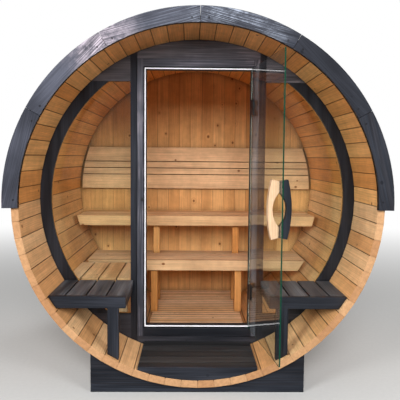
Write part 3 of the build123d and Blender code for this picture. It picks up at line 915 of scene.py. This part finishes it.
def dress_door(upright, level):
    """Door frame, door and panes."""
    # Jambs and head in a paler stain: partly painted sheen
    dress("door_jambs", stained_wood("stain_jambs", upright, 47.0, STAIN_JAMB, thin_stain))
    dress("door_head", stained_wood("stain_head", level, 50.0, STAIN_JAMB, thin_stain))
    plain = stained_wood("stain_level", level, 49.0)
    for part in ("door_sill", "door_stop"):
        dress(part, plain)
    dress("door_handle_outer", stained_wood("stain_handle", upright, 47.0))
    handle_wood = natural_wood("pine_handle", board_row(Z, X), 41.0, knots=0.0, tone=0.66)
    dress("door_handle_inner", handle_wood)
    dress("door_seal", seal_strip("seal_white"))
    coat = powder_coat("coat_black")
    for part in ("hinge_leaves", "door_hinge_plates", "latch_keep"):
        dress(part, coat)
    open_door_normal = (math.sin(OPEN_ANGLE), -math.cos(OPEN_ANGLE), 0.0)
    dress("door_glass", clear_glass("glass_door", open_door_normal, DOOR_GLASS_EDGE))
    dress("side_windows", clear_glass("glass_windows", (0.0, 1.0, 0.0), WINDOW_GLASS_EDGE))


def dress_porch(level):
    """Cradles, porch deck and porch benches, all of them black."""
    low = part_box("cradle_front")[0]
    boards = board_row(X, Z, low.z - CRADLE_HALF_GAP, CRADLE_PITCH)
    cradle = stained_wood("stain_cradle", boards, 53.0)
    dress("cradle_front", cradle)
    dress("cradle_rear", cradle)
    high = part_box("porch_deck")[1]
    boards = board_row(X, Y, DECK_START, DECK_PITCH, high.z)
    dress("porch_deck", stained_wood("stain_deck", boards, 57.0, STAIN_DECK))
    dress("porch_deck_front", stained_wood("stain_deck_front", level, 51.0, STAIN_FRONT_LIT))
    # Left bench frame in the paler stain, right one in plain black: painted light from the left
    for side, edge, shades in (("left", -BENCH_EDGE, STAIN_FRONT_LIT), ("right", BENCH_EDGE, STAIN_BLACK)):
        boards = board_row(Y, X, edge, BENCH_PITCH, PORCH_SEAT_TOP)
        seat = stained_wood(f"stain_seat_{side}", boards, 59.0, STAIN_SEAT)
        dress(f"porch_bench_seat_{side}", seat)
        layout = bench_frame(rail_underside(f"porch_bench_seat_{side}", PORCH_RAIL_HEIGHT))
        dress(f"porch_bench_frame_{side}", stained_wood(f"stain_bench_{side}", layout, 63.0, shades))


def build_materials():
    """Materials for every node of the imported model."""
    wall_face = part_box("wall_posts")[0].y
    upright = board_row(Z, X, DOORWAY_EDGE, 2 * DOORWAY_EDGE, wall_face)
    level = board_row(X, Z, face=wall_face)
    dress_barrel()
    dress_back_wall()
    dress_cabin()
    dress_front_wall(upright, level)
    dress_door(upright, level)
    dress_porch(level)


def build_details():
    """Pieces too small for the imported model."""
    make_piece("roof_shingle_tabs", roof_tabs(), roof_felt("felt_tabs"))
    tongue_wood = natural_wood("pine_tongues", stave_ring, 67.0, PINE_WARM, knots=0.0, tone=0.8)
    make_piece("stave_tongues", stave_tongues(), tongue_wood)
    make_piece("rear_wall_tongues", rear_wall_tongues(), tongue_wood)
    make_piece("fascia_screws", fascia_screws(), screw_steel("screw_dark"))


# Stage, light and camera


def build_stage():
    """Pale floor that fades to white, and throws back as little light as concrete does."""
    builder = bmesh.new()
    bmesh.ops.create_circle(builder, cap_ends=True, segments=FLOOR_SIDES, radius=FLOOR_RADIUS)
    mesh = bpy.data.meshes.new("floor")
    builder.to_mesh(mesh)
    builder.free()
    floor = bpy.data.objects.new("floor", mesh)
    bpy.context.scene.collection.objects.link(floor)

    nodes = Nodes("floor_pale")
    place = nodes.place()
    fade = nodes.smooth(nodes.diagonal(place[X], place[Y]), FLOOR_FADE_START, FLOOR_FADE_END)
    speckle = nodes.noise(nodes.point(), 40.0, 4.0)
    tint = nodes.between(speckle, FLOOR_PALE)
    camera_ray = nodes.add("ShaderNodeLightPath").outputs["Is Camera Ray"]
    tint = nodes.mix(camera_ray, colour(FLOOR_BOUNCE), tint)
    inputs = {"Base Color": tint, "Roughness": 0.8, "Specular IOR Level": 0.2}
    shader = nodes.add("ShaderNodeBsdfPrincipled", inputs)
    glow = nodes.add("ShaderNodeEmission", {"Color": (1, 1, 1, 1), "Strength": 1.0})
    seen = nodes.times(fade, camera_ray)
    nodes.show(nodes.blend(seen, shader.outputs[0], glow.outputs[0]))
    mesh.materials.append(nodes.material)


def build_world():
    """Even light from all round, seen as white from the camera, also through glass."""
    world = bpy.data.worlds.new("studio")
    bpy.context.scene.world = world
    world.use_nodes = True
    tree = world.node_tree
    tree.nodes.clear()
    path = tree.nodes.new("ShaderNodeLightPath")
    seen = tree.nodes.new("ShaderNodeMath")
    seen.operation = "MAXIMUM"
    tree.links.new(path.outputs["Is Camera Ray"], seen.inputs[0])
    tree.links.new(path.outputs["Is Transmission Ray"], seen.inputs[1])
    strength = tree.nodes.new("ShaderNodeMix")
    strength.inputs[2].default_value = WORLD_LIGHT
    strength.inputs[3].default_value = 1.0
    tree.links.new(seen.outputs[0], strength.inputs[0])
    background = tree.nodes.new("ShaderNodeBackground")
    background.inputs[0].default_value = (1, 1, 1, 1)
    tree.links.new(strength.outputs[0], background.inputs[1])
    output = tree.nodes.new("ShaderNodeOutputWorld")
    tree.links.new(background.outputs[0], output.inputs[0])


def build_lamp(name, place, target, width, height, power):
    """Large soft lamp aimed at a point, power in watts; it isn't seen in mirrors or through glass."""
    data = bpy.data.lights.new(name, "AREA")
    data.shape = "RECTANGLE"
    data.size = width
    data.size_y = height
    data.energy = power
    lamp = bpy.data.objects.new(name, data)
    lamp.location = place
    lamp.rotation_euler = (Vector(target) - Vector(place)).to_track_quat("-Z", "Y").to_euler()
    lamp.visible_glossy = False
    lamp.visible_transmission = False
    bpy.context.scene.collection.objects.link(lamp)


def build_camera():
    """Camera at the photograph's place."""
    data = bpy.data.cameras.new("camera")
    data.lens = CAMERA_LENS
    data.sensor_width = CAMERA_SENSOR
    camera = bpy.data.objects.new("camera", data)
    ahead = Vector((
        math.sin(CAMERA_YAW) * math.cos(CAMERA_PITCH),
        math.cos(CAMERA_YAW) * math.cos(CAMERA_PITCH),
        -math.sin(CAMERA_PITCH),
    ))
    level_right = Vector((math.cos(CAMERA_YAW), -math.sin(CAMERA_YAW), 0))
    level_up = level_right.cross(ahead)
    right = level_right * math.cos(CAMERA_ROLL) + level_up * math.sin(CAMERA_ROLL)
    up = level_up * math.cos(CAMERA_ROLL) - level_right * math.sin(CAMERA_ROLL)
    turn = Matrix((right, up, -ahead)).transposed()
    camera.matrix_world = Matrix.Translation(CAMERA_PLACE) @ turn.to_4x4()
    bpy.context.scene.collection.objects.link(camera)
    bpy.context.scene.camera = camera


build_camera()
build_world()
build_lamp("key_lamp", (-0.2, -6.4, 3.6), LAMP_TARGET, width=2.4, height=2.6, power=475)
build_lamp("left_lamp", (-4.2, -4.6, 2.6), LAMP_TARGET, width=2.0, height=2.4, power=270)
build_lamp("right_lamp", (4.2, -4.6, 2.6), LAMP_TARGET, width=2.0, height=2.4, power=200)
build_lamp("back_lamp", (1.5, 6.0, 4.5), BACK_LAMP_TARGET, width=2.6, height=2.6, power=120)
build_stage()
build_materials()
build_details()

bpy.context.scene.view_settings.view_transform = "Standard"
